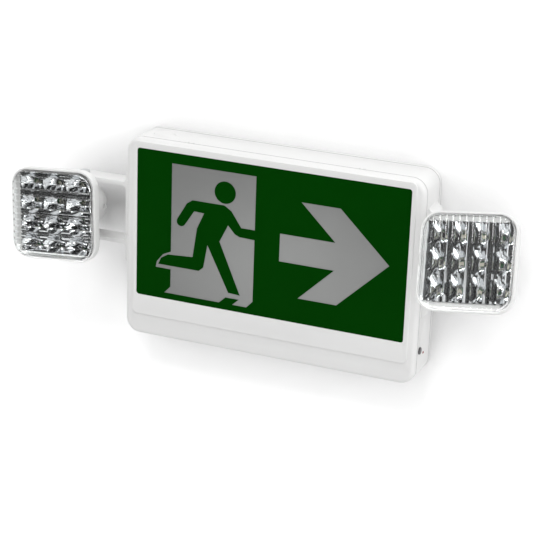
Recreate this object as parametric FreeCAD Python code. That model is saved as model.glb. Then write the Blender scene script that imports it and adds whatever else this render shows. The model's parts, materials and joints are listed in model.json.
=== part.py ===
"""Wall-mounted emergency exit light with two adjustable battery lamp heads.

Millimetres, +Z up. The origin is the centre of the back face, which lies on the wall (XZ plane).
The sign faces -Y. Every piece is its own solid and is written to parts/NODE.step.
"""
import FreeCAD
import Part

import math
import os

from FreeCAD import Vector, Placement, Rotation

os.makedirs("parts", exist_ok=True)

# ---------------------------------------------------------------- driving dimensions
# Housing
HOUSING_W = 305.0             # 12 in wide
HOUSING_H = 203.0             # 8 in high
HOUSING_D = 48.0              # from the wall to the front of the legend border
CORNER_R = 15.0               # corners seen from the front
WALL = 2.5                    # moulded wall
BACK_RIM = 4.5                # depth of the back plate's rim
COVER_D = 7.0                 # depth of the snap-on front cover
COVER_ROUND = 5.0             # rounded front edge of the cover
FIT = 0.3                     # gap between pieces that move or drop in
TOUCH = 0.2                   # gap between fixed pieces that slip together

# Legend
LEGEND_SIDE = 12.5            # housing edge to the visible legend
LEGEND_ABOVE = 9.65
LEGEND_BELOW = 42.65
PANEL_R = 3.0
PANEL_T = 2.0
PANEL_REBATE = 2.5            # panel edge hidden behind the window lip
FILM_T = 0.25
LIP_T = 0.8
BORDER_SIDE = 4.5             # raised border beside the legend
BORDER_TOP = 6.6              # raised border above the legend
BORDER_FOOT = 20.7            # raised border below the legend
BORDER_R = 6.0
BORDER_RISE = 1.0
CLIP_W = 8.0
CLIP_GRIP = 1.5

# Snap latches of the cover, and their windows in the frame
LATCH_X = 87.0
LATCH_W = 9.0
LATCH_T = 1.6
LATCH_REACH = 5.5
TOOTH_W = 2.6
TOOTH_PITCH = 5.0
TOOTH_D = 1.4
TOOTH_H = 1.6

# Frame and back plate
BOSS_R = 4.5
BOSS_INSET = 10.0             # boss axis from the outer walls
RIB_T = 1.6
SCREW_R = 1.75                # self-tapping screws
SCREW_HEAD_R = 3.4
SCREW_HEAD_H = 1.9
SCREW_GRIP = 12.0
WIRE_ENTRY_R = 11.1           # 7/8 in supply entry
WIRE_RING_T = 2.0
WIRE_RING_D = 4.0
BOX_SCREW_SPACING = 88.9      # 3-1/2 in, junction box screws
BOX_SCREW_R = 2.4
KEYHOLE_FROM_SIDE = 51.0
KEYHOLE_FROM_TOP = 61.5
KEYHOLE_HEAD_R = 4.6
KEYHOLE_SLOT_R = 2.4
KEYHOLE_RUN = 9.0
VENT_R = 1.1                  # two small holes in the top wall
VENTS = [(20.5, 28.0), (38.5, 19.0)]        # distance from the left side, and from the wall

# Light box behind the legend
TRAY_FLOOR = 28.0             # back of the tray floor from the wall
TRAY_T = 1.2
TRAY_FRONT = 43.0
POST_R = 4.0
POST_INSET_X = 6.0             # post axis from the legend's edges
POST_INSET_Z = 23.35
STRIP_INSET = 12.0             # light strip end from the legend's side
STRIP_H = 10.0
STRIP_INSET_Z = 37.35          # strip axis from the legend's top and bottom
BOARD_T = 1.6
SIGN_LEDS = 12                # on each strip
LED_W = 3.5
LED_H = 2.8
LED_T = 0.8

# Charger electronics
CHARGER_W = 132.0
CHARGER_H = 62.0
CHARGER_FROM_SIDE = 24.5
CHARGER_FROM_FOOT = 12.5
STANDOFF_H = 6.0
STANDOFF_R = 3.2
STANDOFF_INSET = 5.0
BOARD_HOLE_R = 1.6
TRANSFORMER = (36.0, 14.0, 31.0)            # x, depth, z
TRANSFORMER_ALONG = -38.0      # from the charger board's centre
CAPACITOR_R = 5.0
CAPACITOR_L = 15.0
CAPACITOR_PITCH = 13.0
CAPACITORS = 3
CAPACITOR_ALONG = 0.0
TERMINAL = (30.0, 11.0, 12.0)
TERMINAL_ALONG = 34.0
TERMINAL_UP = 14.0
TERMINAL_WAYS = 5
TERMINAL_HOLE_R = 1.7
TERMINAL_SCREW_D = 4.0         # depth of the screw wells
TERMINAL_WIRE_D = 5.0          # depth of the wire holes

# Battery
CELL_R = 8.5
CELL_L = 66.0
CELLS = 4
BATTERY_FROM_SIDE = 78.5
BATTERY_FROM_FOOT = 49.5
STRAP_T = 0.8
STRAP_W = 16.0
STRAP_FOOT = 11.0

# Test button and status light in the right wall
BUTTON_R = 3.5
BUTTON_PROUD = 1.3
BUTTON_TRAVEL = 1.0
BUTTON_FROM_WALL = 34.5
BUTTON_FROM_FOOT = 32.5
BUTTON_COLLAR_R = 4.7
BUTTON_COLLAR_T = 1.2
PLUNGER_R = 1.6
STATUS_R = 1.5
STATUS_FROM_WALL = 22.4
STATUS_UNDER = 6.0             # status light below the button
STATUS_PROUD = 0.6
SWITCH = (7.0, 9.0, 9.0)      # x, y, z
SWITCH_GAP = 3.0              # collar to switch body
TEST_BOARD_W = 26.0
TEST_BOARD_H = 20.0
TEST_BOARD_HOLE = 9.0         # screw from the board centre, along Y

# Lamp arms
PIVOT_OUT = 57.0              # pan axis from the side wall
PIVOT_FROM_WALL = 26.0
PIVOT_Z = 18.5
ARM_PLATE_T = 6.0
ARM_PLATE_H = 108.0
ARM_PLATE_BEVEL = 6.0
ARM_PLATE_BACK = 10.0         # plate edge nearest the wall
PRONG_W = 20.0
PRONG_T = 4.0
PRONG_GAP = 56.4              # clear height between the prongs
PRONG_ROOT = 4.0              # root fillet
ARM_SCREW_Z = 44.0

# Knuckle, tilt pin and stem
BALL_R = 22.0
BALL_NECK_R = 9.0
PIVOT_R = 3.0
PIVOT_DEPTH = 13.0            # pivot screw inside the ball
PIVOT_HEAD_R = 5.2
PIVOT_HEAD_H = 2.2
RUN_CLEAR = 0.05              # radial running clearance
TILT_PIN_R = 2.5
TILT_PIN_L = 38.0
EYE_R = 9.0
EYE_W = 12.0
STEM_R = 6.0
STEM_FLANGE_AT = 25.5
STEM_FLANGE_R = 11.0
STEM_FLANGE_T = 2.5
STEM_END = 38.0
TILT_OPEN = 28.0              # half angle of the slot for the stem
STEM_SCREW_R = 2.0
STEM_SCREW_L = 11.0
STEM_SCREW_HEAD_R = 3.8
STEM_SCREW_HEAD_H = 2.6
STEM_WASHER_R = 9.0
STEM_WASHER_T = 1.2

# Lamp head, measured forward from the pivot
HEAD_BACK = 31.0
HEAD_BACK_W = 60.0
HEAD_BACK_R = 14.0
HEAD_FLARE_END = 58.0
HEAD_RIM = 67.0
HEAD_LIP = 2.0                 # shell standing round the lens
SHELL_T = 2.2
HUB_R = 11.0
LENS_W = 86.0
LENS_R = 16.0
LENS_SEAT = 63.0
LENS_FRONT = 72.0
LENS_T = 2.0
LENS_ROUND = 3.5
FLUTES = 14
FLUTE_H = 0.9
PRY_NOTCH_L = 10.0             # notch in the rim, to lift the lens out
PRY_NOTCH_D = 2.4
HEAD_BOARD_R = 12.0
HEAD_BOARD_AT = 48.4
HEAD_POST_R = 3.5
HEAD_SCREW_R = 1.4
HEAD_SCREW_HEAD_R = 2.6
HEAD_SCREW_HEAD_H = 1.5
HEAD_SCREW_GRIP = 8.0
REFLECTOR_SIDE = 1.0           # reflector edge to the lens wall
REFLECTOR_SHORT = 4.0          # further in above and below
REFLECTOR_R = 6.0
REFLECTOR_GAP = 1.7            # board face to the reflector's back
REFLECTOR_D = 12.3
REFLECTOR_DRAFT = 4.0          # each side draws in towards the back
FOOT_R = 2.0                   # reflector feet on the board
FOOT_INSET = 3.0
CUP_COLUMNS = 4
CUP_ROWS = 3
CUP_FLOOR_R = 3.2
CUP_WEB = 0.7                 # metal left between neighbouring cups
CUP_SKIN = 1.2                # reflector left under a cup
CHIP_W = 3.0
CHIP_T = 1.2

# Rest pose of the heads, in degrees
LEFT_POSE = (1.5, -5.5, -94.0)      # pan, tilt, turn
RIGHT_POSE = (-2.5, -24.0, -7.5)

# ---------------------------------------------------------------- derived places
SIDE_X = HOUSING_W / 2
TOP_Z = HOUSING_H / 2
COVER_Y = -(HOUSING_D - COVER_D)
FRAME_BACK_Y = -BACK_RIM
INNER_W = HOUSING_W - 2 * WALL
INNER_H = HOUSING_H - 2 * WALL
INNER_R = CORNER_R - WALL
FACE_Y = -(HOUSING_D - BORDER_RISE)
FILM_Y = -(HOUSING_D - LIP_T)
PANEL_Y = FILM_Y + FILM_T
PANEL_BACK_Y = PANEL_Y + PANEL_T
PANEL_W = HOUSING_W - 2 * LEGEND_SIDE
PANEL_H = HOUSING_H - LEGEND_ABOVE - LEGEND_BELOW
PANEL_LIFT = (LEGEND_BELOW - LEGEND_ABOVE) / 2
POST_X = PANEL_W / 2 - POST_INSET_X
POST_Z = PANEL_H / 2 - POST_INSET_Z
STRIP_L = PANEL_W - 2 * STRIP_INSET
STRIP_Z = PANEL_H / 2 - STRIP_INSET_Z
CHARGER_X = SIDE_X - CHARGER_FROM_SIDE - CHARGER_W / 2
CHARGER_Z = -TOP_Z + CHARGER_FROM_FOOT + CHARGER_H / 2
TRANSFORMER_X = CHARGER_X + TRANSFORMER_ALONG
CAPACITOR_X = CHARGER_X + CAPACITOR_ALONG
TERMINAL_X = CHARGER_X + TERMINAL_ALONG
TERMINAL_Z = CHARGER_Z + TERMINAL_UP
BATTERY_X = -SIDE_X + BATTERY_FROM_SIDE
BATTERY_Z = -TOP_Z + BATTERY_FROM_FOOT
BUTTON_Z = -TOP_Z + BUTTON_FROM_FOOT
STATUS_Z = BUTTON_Z - STATUS_UNDER
KEYHOLE_X = SIDE_X - KEYHOLE_FROM_SIDE
KEYHOLE_Z = TOP_Z - KEYHOLE_FROM_TOP
PIVOT_X = SIDE_X + PIVOT_OUT
PIVOT_Y = -PIVOT_FROM_WALL
BOSS_X = SIDE_X - BOSS_INSET
BOSS_Z = TOP_Z - BOSS_INSET
PRONG_REACH = PRONG_GAP / 2 + PRONG_T
HEAD_W = LENS_W + 2 * HEAD_LIP
HEAD_R = LENS_R + HEAD_LIP
REFLECTOR_W = LENS_W - 2 * (LENS_T + REFLECTOR_SIDE)
REFLECTOR_H = REFLECTOR_W - 2 * REFLECTOR_SHORT
HEAD_BOARD_W = REFLECTOR_W - 2 * REFLECTOR_DRAFT
HEAD_BOARD_H = REFLECTOR_H - 2 * REFLECTOR_DRAFT
REFLECTOR_BACK = HEAD_BOARD_AT + BOARD_T + REFLECTOR_GAP
REFLECTOR_FRONT = REFLECTOR_BACK + REFLECTOR_D


# ---------------------------------------------------------------- building blocks
def place(shape, x=0.0, y=0.0, z=0.0):
    moved = shape.copy()
    moved.translate(Vector(x, y, z))
    return moved


def box(x0, x1, y0, y1, z0, z1):
    return Part.makeBox(x1 - x0, y1 - y0, z1 - z0, Vector(x0, y0, z0))


def rod(radius, start, end):
    """Cylinder from start to end."""
    axis = end - start
    return Part.makeCylinder(radius, axis.Length, start, axis)


def rod_y(radius, y0, y1, x=0.0, z=0.0):
    return rod(radius, Vector(x, y0, z), Vector(x, y1, z))


def rod_x(radius, x0, x1, y=0.0, z=0.0):
    return rod(radius, Vector(x0, y, z), Vector(x1, y, z))


def rod_z(radius, z0, z1, x=0.0, y=0.0):
    return rod(radius, Vector(x, y, z0), Vector(x, y, z1))


def rounded_wire(width, height, radius, y, x=0.0, z=0.0):
    """Rounded rectangle in an XZ plane, centred on x, z."""
    a = width / 2 - radius
    b = height / 2 - radius
    s = radius * math.sqrt(0.5)

    def at(u, w):
        return Vector(x + u, y, z + w)

    edges = []
    for su, sw, flip in ((1, 1, False), (-1, 1, True), (-1, -1, False), (1, -1, True)):
        ends = [at(su * (a + radius), sw * b), at(su * a, sw * (b + radius))]
        if flip:
            ends.reverse()
        middle = at(su * (a + s), sw * (b + s))
        edges.append(Part.Arc(ends[0], middle, ends[1]).toShape())
    sides = []
    for i, arc in enumerate(edges):
        following = edges[(i + 1) % 4]
        sides.append(arc)
        sides.append(Part.makeLine(arc.Vertexes[-1].Point, following.Vertexes[0].Point))
    return Part.Wire(sides)


def plate(width, height, radius, y0, y1, x=0.0, z=0.0):
    """Rounded rectangular block between two depths."""
    face = Part.Face(rounded_wire(width, height, radius, y0, x, z))
    return face.extrude(Vector(0, y1 - y0, 0))


def polygon(points, y0, y1):
    """Prism of an outline of (x, z) points between two depths."""
    corners = [Vector(x, y0, z) for x, z in points]
    face = Part.Face(Part.makePolygon(corners + corners[:1]))
    return face.extrude(Vector(0, y1 - y0, 0))


def union(shapes):
    shapes = list(shapes)
    if len(shapes) == 1:
        return shapes[0]
    return shapes[0].multiFuse(shapes[1:]).removeSplitter()


def cut(shape, tools):
    tools = list(tools)
    return shape.cut(tools) if tools else shape


def mirrored(shape):
    return shape.mirror(Vector(0, 0, 0), Vector(1, 0, 0))


def pan_screw(radius, length, head_radius, head_height):
    """Screw with its head above Y = 0 and its shank towards -Y."""
    head = rod_y(head_radius, 0, head_height)
    return union([head, rod_y(radius, -length, 0)])


nodes = {}


def add(name, shapes):
    """Keep one solid, or a group of like solids, under a node name."""
    if not isinstance(shapes, (list, tuple)):
        shapes = [shapes]
    nodes[name] = Part.makeCompound([solid for shape in shapes for solid in shape.Solids])


# ---------------------------------------------------------------- housing
def corner_points(x, z):
    return [(sx * x, sz * z) for sx in (-1, 1) for sz in (-1, 1)]


def back_plate():
    """Shallow tray that goes on the wall, with standoffs for what it carries."""
    body = plate(HOUSING_W, HOUSING_H, CORNER_R, -BACK_RIM, 0)
    body = body.cut(plate(INNER_W, INNER_H, INNER_R, -BACK_RIM, -WALL))
    extra = [rod_y(WIRE_ENTRY_R + WIRE_RING_T, -WALL - WIRE_RING_D, 0)]
    extra += [rod_y(BOSS_R, -BACK_RIM, 0, x, z) for x, z in corner_points(BOSS_X, BOSS_Z)]
    extra += [rod_y(POST_R, -TRAY_FLOOR, 0, x, PANEL_LIFT + z) for x, z in corner_points(POST_X, POST_Z)]
    extra += [rod_y(STANDOFF_R, -WALL - STANDOFF_H, 0, x, z) for x, z in charger_screw_points()]
    body = union([body] + extra)
    holes = [rod_y(WIRE_ENTRY_R, -HOUSING_D, 1)]
    holes += [rod_y(BOX_SCREW_R, -HOUSING_D, 1, sx * BOX_SCREW_SPACING / 2) for sx in (-1, 1)]
    for sx in (-1, 1):
        x = sx * KEYHOLE_X
        holes.append(rod_y(KEYHOLE_HEAD_R, -HOUSING_D, 1, x, KEYHOLE_Z))
        slot = box(x - KEYHOLE_SLOT_R, x + KEYHOLE_SLOT_R, -HOUSING_D, 1, KEYHOLE_Z, KEYHOLE_Z + KEYHOLE_RUN)
        holes += [slot, rod_y(KEYHOLE_SLOT_R, -HOUSING_D, 1, x, KEYHOLE_Z + KEYHOLE_RUN)]
    for x, z in corner_points(BOSS_X, BOSS_Z):
        holes.append(rod_y(SCREW_R + TOUCH / 2, -HOUSING_D, 1, x, z))
        holes.append(rod_y(SCREW_HEAD_R + TOUCH, -SCREW_HEAD_H - TOUCH, 1, x, z))
    for x, z in corner_points(POST_X, POST_Z):
        holes.append(rod_y(SCREW_R, -TRAY_FLOOR - 1, -TRAY_FLOOR + SCREW_GRIP, x, PANEL_LIFT + z))
    for x, z in charger_screw_points():
        holes.append(rod_y(SCREW_R, -WALL - STANDOFF_H - 1, -WALL, x, z))
    for z in strap_screw_heights():
        holes.append(rod_y(SCREW_R, -HOUSING_D, 1, BATTERY_X, z))
    return cut(body, holes)


def housing_frame():
    """Ring of side walls with corner bosses, latch windows and the side openings."""
    ring = plate(HOUSING_W, HOUSING_H, CORNER_R, COVER_Y, FRAME_BACK_Y)
    ring = ring.cut(plate(INNER_W, INNER_H, INNER_R, COVER_Y, FRAME_BACK_Y))
    boss_front = FRAME_BACK_Y - SCREW_GRIP - BOSS_R
    extra = []
    for x, z in corner_points(BOSS_X, BOSS_Z):
        sx = math.copysign(1, x)
        sz = math.copysign(1, z)
        extra.append(rod_y(BOSS_R, boss_front, FRAME_BACK_Y, x, z))
        xs = sorted((x, sx * (SIDE_X - WALL / 2)))
        zs = sorted((z, sz * (TOP_Z - WALL / 2)))
        extra.append(box(xs[0], xs[1], boss_front, FRAME_BACK_Y, z - RIB_T / 2, z + RIB_T / 2))
        extra.append(box(x - RIB_T / 2, x + RIB_T / 2, boss_front, FRAME_BACK_Y, zs[0], zs[1]))
    for y in test_board_screw_depths():
        start = test_board_x() + BOARD_T
        extra.append(rod_x(BOSS_R / 2 + 1, start, SIDE_X - WALL / 2, y, test_board_z()))
    ring = union([ring] + extra)
    holes = []
    for x, z in corner_points(BOSS_X, BOSS_Z):
        holes.append(rod_y(SCREW_R, FRAME_BACK_Y - SCREW_GRIP, 0, x, z))
    for x in latch_teeth():
        gap = TOOTH_W / 2 + TOUCH
        y = tooth_depth()
        for sz in (-1, 1):
            zs = sorted((sz * (TOP_Z - WALL - 1), sz * (TOP_Z + 1)))
            holes.append(box(x - gap, x + gap, y - TOUCH, y + TOOTH_D + TOUCH, zs[0], zs[1]))
    holes += [rod_z(VENT_R, TOP_Z - WALL - 1, TOP_Z + 1, -SIDE_X + along, -depth)
              for along, depth in VENTS]
    holes.append(rod_x(BUTTON_R + TOUCH, SIDE_X - WALL - 1, SIDE_X + 1, -BUTTON_FROM_WALL, BUTTON_Z))
    holes.append(rod_x(STATUS_R + TOUCH / 2, SIDE_X - WALL - 1, SIDE_X + 1, -STATUS_FROM_WALL, STATUS_Z))
    for y in test_board_screw_depths():
        holes.append(rod_x(BOARD_HOLE_R, test_board_x(), SIDE_X - WALL, y, test_board_z()))
    for sx in (-1, 1):
        for sz in (-1, 1):
            xs = sorted((sx * (SIDE_X - WALL - 1), sx * (SIDE_X + 1)))
            z = PIVOT_Z + sz * ARM_SCREW_Z
            holes.append(rod_x(SCREW_R + TOUCH / 2, xs[0], xs[1], arm_screw_y(), z))
    return cut(ring, holes)


def latch_teeth():
    return [sx * LATCH_X + st * TOOTH_PITCH / 2 for sx in (-1, 1) for st in (-1, 1)]


def tooth_depth():
    """Front of the latch teeth, just behind the parting line."""
    return COVER_Y + 1.0


def front_cover():
    """Snap-on front with the legend window, raised border, clips and latches."""
    skin = plate(HOUSING_W, HOUSING_H, CORNER_R, FACE_Y, COVER_Y)
    front_edges = [e for e in skin.Edges if e.BoundBox.YMax < FACE_Y + 0.01]
    skin = skin.makeFillet(COVER_ROUND, front_edges)
    border_w = PANEL_W + 2 * BORDER_SIDE
    border_h = PANEL_H + BORDER_TOP + BORDER_FOOT
    border_z = PANEL_LIFT + (BORDER_TOP - BORDER_FOOT) / 2
    border = plate(border_w, border_h, BORDER_R, -HOUSING_D, FACE_Y + WALL / 2, 0, border_z)
    rim = [e for e in border.Edges if e.BoundBox.YMax < -HOUSING_D + 0.01]
    border = border.makeFillet(BORDER_RISE * 0.6, rim)
    inside = plate(INNER_W, INNER_H, INNER_R, FACE_Y + WALL, COVER_Y)
    inner_edges = [e for e in inside.Edges if e.BoundBox.YMax < FACE_Y + WALL + 0.01]
    inside = inside.makeFillet(COVER_ROUND - WALL, inner_edges)
    window = plate(PANEL_W, PANEL_H, PANEL_R, -HOUSING_D - 1, COVER_Y, 0, PANEL_LIFT)
    seat_w = PANEL_W + 2 * (PANEL_REBATE + TOUCH)
    seat_h = PANEL_H + 2 * (PANEL_REBATE + TOUCH)
    seat = plate(seat_w, seat_h, PANEL_R, FILM_Y, COVER_Y, 0, PANEL_LIFT)
    cover = union([skin, border]).cut([inside, window, seat])
    return union([cover] + panel_clips() + [latch(x, sz) for x in (-LATCH_X, LATCH_X) for sz in (-1, 1)])


def panel_clips():
    """Small tabs moulded behind the panel's edge."""
    front = PANEL_BACK_Y + TOUCH / 2
    back = FACE_Y + WALL + 1.4
    half_w = PANEL_W / 2 + PANEL_REBATE
    half_h = PANEL_H / 2 + PANEL_REBATE
    clips = []
    for sz in (-1, 1):
        zs = sorted((PANEL_LIFT + sz * (half_h - CLIP_GRIP), PANEL_LIFT + sz * (half_h + CLIP_GRIP)))
        for x in (-PANEL_W / 3, 0, PANEL_W / 3):
            clips.append(box(x - CLIP_W / 2, x + CLIP_W / 2, front, back, zs[0], zs[1]))
    for sx in (-1, 1):
        xs = sorted((sx * (half_w - CLIP_GRIP), sx * (half_w + CLIP_GRIP)))
        clips.append(box(xs[0], xs[1], front, back, PANEL_LIFT - CLIP_W / 2, PANEL_LIFT + CLIP_W / 2))
    return clips


def latch(x, sz):
    """Hook that reaches under the frame wall and shows two teeth in its windows."""
    outer = TOP_Z - WALL - TOUCH
    inner = outer - LATCH_T
    root = FACE_Y + WALL - 0.5
    end = COVER_Y + LATCH_REACH

    def bar(x0, x1, y0, y1, z0, z1):
        zs = sorted((sz * z0, sz * z1))
        return box(x0, x1, y0, y1, zs[0], zs[1])

    pieces = [bar(x - LATCH_W / 2, x + LATCH_W / 2, root, end, inner, outer)]
    pieces.append(bar(x - LATCH_W / 2, x + LATCH_W / 2, root, COVER_Y - TOUCH, inner, TOP_Z - WALL / 2))
    for st in (-1, 1):
        tx = x + st * TOOTH_PITCH / 2
        y = tooth_depth()
        pieces.append(bar(tx - TOOTH_W / 2, tx + TOOTH_W / 2, y, y + TOOTH_D, inner, outer + TOOTH_H))
    return union(pieces)


# ---------------------------------------------------------------- legend
# Outlines from the legend centre, as (x, z).
DOOR_TOP = 64.5
DOOR_LEFT = -103.0
DOOR_RIGHT = -14.6
SILL_TOP = -62.0
SILL_FOOT = -69.0
SILL_SHIFT = 6.6
DOOR = [(DOOR_LEFT, DOOR_TOP), (DOOR_RIGHT, DOOR_TOP), (DOOR_RIGHT, SILL_TOP),
        (DOOR_RIGHT - SILL_SHIFT, SILL_FOOT), (-36.3, SILL_FOOT), (-29.4, -62.6), (-43.4, -62.6),
        (-50.2, SILL_FOOT), (DOOR_LEFT - SILL_SHIFT, SILL_FOOT), (DOOR_LEFT, SILL_TOP),
        (DOOR_LEFT, -43.9), (-119.2, -43.9), (-118.1, -37.6), (-111.3, -29.3), (DOOR_LEFT, -25.4)]
MAN = [(-68.0, 19.4), (-78.7, 19.9), (-88.3, 4.9), (-96.6, 9.3), (-86.5, 26.6), (-80.6, 30.6),
       (-47.0, 30.6), (-39.4, 25.8), (-28.8, 10.7), (-12.0, 10.7), (-12.0, 0.9), (-30.4, 1.4),
       (-35.4, 3.6), (-42.6, 11.4), (-51.3, -6.6), (-28.4, -58.0), (-40.6, -57.2), (-63.9, -12.0),
       (-67.9, -36.0), (-72.6, -40.1), (-116.4, -40.1), (-113.4, -33.4), (-106.1, -28.9),
       (-79.4, -27.2), (-75.3, 2.9)]
HAND_AT = (-92.4, 7.2)
HAND_R = 4.6
HEAD_AT = (-46.5, 43.5)
HEAD_DISC_R = 11.0
ARROW_Z = -2.0
ARROW_TAIL = 11.3
ARROW_NECK = 67.3
ARROW_TIP = 121.9
ARROW_ARM = 34.2              # run of each arm's slanted edges
ARROW_CUT = 39.5              # length of each arm's straight end
SHAFT_HALF = 14.0


def arrow_outline():
    tail = ARROW_NECK - ARROW_ARM - 1.3
    reach = SHAFT_HALF + ARROW_ARM
    upper = [(ARROW_TAIL, SHAFT_HALF), (ARROW_NECK, SHAFT_HALF), (tail, reach),
             (tail + ARROW_CUT, reach), (ARROW_TIP, 0)]
    lower = [(x, -z) for x, z in reversed(upper[:-1])]
    return [(x, z + ARROW_Z) for x, z in upper + lower]


def legend_film():
    """Green sheet with the doorway and arrow cut out; the runner stays, joined at the hand."""
    y0 = FILM_Y
    y1 = FILM_Y + FILM_T
    half = PANEL_REBATE
    sheet = plate(PANEL_W + 2 * half, PANEL_H + 2 * half, PANEL_R, y0, y1)
    runner = union([polygon(MAN, y0, y1), rod_y(HAND_R, y0, y1, *HAND_AT)])
    doorway = polygon(DOOR, y0, y1).cut(runner)
    sheet = sheet.cut([doorway, polygon(arrow_outline(), y0, y1)])
    disc = rod_y(HEAD_DISC_R, y0, y1, *HEAD_AT)
    return [place(sheet, 0, 0, PANEL_LIFT), place(disc, 0, 0, PANEL_LIFT)]


def legend_panel():
    half = PANEL_REBATE
    return plate(PANEL_W + 2 * half, PANEL_H + 2 * half, PANEL_R, PANEL_Y, PANEL_BACK_Y, 0, PANEL_LIFT)


# ---------------------------------------------------------------- light box
def light_tray():
    """White tray behind the legend that evens out the light."""
    width = PANEL_W + 2 * TRAY_T
    height = PANEL_H + 2 * TRAY_T
    tray = plate(width, height, PANEL_R + TRAY_T, -TRAY_FRONT, -TRAY_FLOOR, 0, PANEL_LIFT)
    tray = tray.cut(plate(PANEL_W, PANEL_H, PANEL_R, -TRAY_FRONT, -TRAY_FLOOR - TRAY_T, 0, PANEL_LIFT))
    return cut(tray, [rod_y(SCREW_R + TOUCH / 2, -HOUSING_D, 0, x, PANEL_LIFT + z)
                      for x, z in corner_points(POST_X, POST_Z)])


def strip_heights():
    return [PANEL_LIFT - STRIP_Z, PANEL_LIFT + STRIP_Z]


def sign_led_strips():
    front = -TRAY_FLOOR - TRAY_T - BOARD_T
    return [box(-STRIP_L / 2, STRIP_L / 2, front, front + BOARD_T, z - STRIP_H / 2, z + STRIP_H / 2)
            for z in strip_heights()]


def sign_leds():
    pitch = STRIP_L / SIGN_LEDS
    back = -TRAY_FLOOR - TRAY_T - BOARD_T
    chips = []
    for z in strip_heights():
        for i in range(SIGN_LEDS):
            x = (i - (SIGN_LEDS - 1) / 2) * pitch
            chips.append(box(x - LED_W / 2, x + LED_W / 2, back - LED_T, back, z - LED_H / 2, z + LED_H / 2))
    return chips


# ---------------------------------------------------------------- charger electronics
def charger_front():
    return -WALL - STANDOFF_H - BOARD_T


def charger_screw_points():
    reach_x = CHARGER_W / 2 - STANDOFF_INSET
    reach_z = CHARGER_H / 2 - STANDOFF_INSET
    return [(CHARGER_X + x, CHARGER_Z + z) for x, z in corner_points(reach_x, reach_z)]


def charger_board():
    y = charger_front()
    board = box(CHARGER_X - CHARGER_W / 2, CHARGER_X + CHARGER_W / 2, y, y + BOARD_T,
                CHARGER_Z - CHARGER_H / 2, CHARGER_Z + CHARGER_H / 2)
    return cut(board, [rod_y(SCREW_R + TOUCH / 2, y - 1, 0, x, z) for x, z in charger_screw_points()])


def transformer():
    """Laminated core with a wound bobbin standing out of its window."""
    width, depth, height = TRANSFORMER
    y = charger_front()
    core = box(-width / 2, width / 2, -depth, 0, -height / 4, height / 4)
    bobbin = plate(width * 0.62, height, height * 0.12, -depth + 1.5, -1.5)
    feet = box(-width / 2, width / 2, -1.5, 0, -height / 2, height / 2)
    return place(union([core, bobbin, feet]), TRANSFORMER_X, y, CHARGER_Z)


def capacitors():
    y = charger_front()
    cans = []
    for i in range(CAPACITORS):
        z = CHARGER_Z + (i - (CAPACITORS - 1) / 2) * CAPACITOR_PITCH
        cans.append(rod_y(CAPACITOR_R, y - CAPACITOR_L, y, CAPACITOR_X, z))
    return cans


def terminal_block():
    width, depth, height = TERMINAL
    y = charger_front()
    block = box(-width / 2, width / 2, -depth, 0, -height / 2, height / 2)
    pitch = width / TERMINAL_WAYS
    holes = []
    for i in range(TERMINAL_WAYS):
        x = (i - (TERMINAL_WAYS - 1) / 2) * pitch
        holes.append(rod_y(TERMINAL_HOLE_R, -depth - 1, -depth + TERMINAL_SCREW_D, x, 0))
        holes.append(rod_z(TERMINAL_HOLE_R, height / 2 - TERMINAL_WIRE_D, height / 2 + 1, x, -depth / 3))
    return place(cut(block, holes), TERMINAL_X, y, TERMINAL_Z)


def battery_pack():
    """Four cells side by side in one sealed sleeve."""
    back = -WALL
    pitch = 2 * CELL_R
    first = BATTERY_Z - (CELLS - 1) / 2 * pitch
    last = BATTERY_Z + (CELLS - 1) / 2 * pitch
    x0 = BATTERY_X - CELL_L / 2
    x1 = BATTERY_X + CELL_L / 2
    lobes = [rod_x(CELL_R, x0, x1, back - CELL_R, first + i * pitch) for i in range(CELLS)]
    sleeve_half = CELL_R * 0.82
    sleeve = box(x0, x1, back - CELL_R - sleeve_half, back - CELL_R + sleeve_half, first, last)
    return union(lobes + [sleeve])


def strap_screw_heights():
    reach = CELLS * CELL_R + STRAP_T + STRAP_FOOT / 2
    return [BATTERY_Z - reach, BATTERY_Z + reach]


def battery_strap():
    """Steel strap over the pack with a screwed foot at each end."""
    half = CELLS * CELL_R + TOUCH
    front = -WALL - 2 * CELL_R - TOUCH
    x0 = BATTERY_X - STRAP_W / 2
    x1 = BATTERY_X + STRAP_W / 2
    low = BATTERY_Z - half
    high = BATTERY_Z + half
    hoop = box(x0, x1, front - STRAP_T, -WALL, low - STRAP_T, high + STRAP_T)
    hoop = hoop.cut(box(x0, x1, front, -WALL, low, high))
    feet = [box(x0, x1, -WALL - STRAP_T, -WALL, low - STRAP_FOOT, low),
            box(x0, x1, -WALL - STRAP_T, -WALL, high, high + STRAP_FOOT)]
    strap = union([hoop] + feet)
    return cut(strap, [rod_y(SCREW_R + TOUCH / 2, -HOUSING_D, 1, BATTERY_X, z) for z in strap_screw_heights()])


def strap_screws():
    """Pan heads on the strap's feet; the shanks end flush inside the back plate."""
    screw = pan_screw(SCREW_R, WALL + STRAP_T - TOUCH, SCREW_HEAD_R, SCREW_HEAD_H)
    screw.rotate(Vector(0, 0, 0), Vector(1, 0, 0), 180)
    return [place(screw, BATTERY_X, -WALL - STRAP_T, z) for z in strap_screw_heights()]


def charger_screws():
    screw = pan_screw(SCREW_R, BOARD_T + STANDOFF_H - TOUCH, SCREW_HEAD_R, SCREW_HEAD_H)
    screw.rotate(Vector(0, 0, 0), Vector(1, 0, 0), 180)
    return [place(screw, x, charger_front(), z) for x, z in charger_screw_points()]


def tray_screws():
    screw = pan_screw(SCREW_R, SCREW_GRIP + TRAY_T - TOUCH, SCREW_HEAD_R, SCREW_HEAD_H)
    screw.rotate(Vector(0, 0, 0), Vector(1, 0, 0), 180)
    return [place(screw, x, -TRAY_FLOOR - TRAY_T, PANEL_LIFT + z) for x, z in corner_points(POST_X, POST_Z)]


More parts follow.
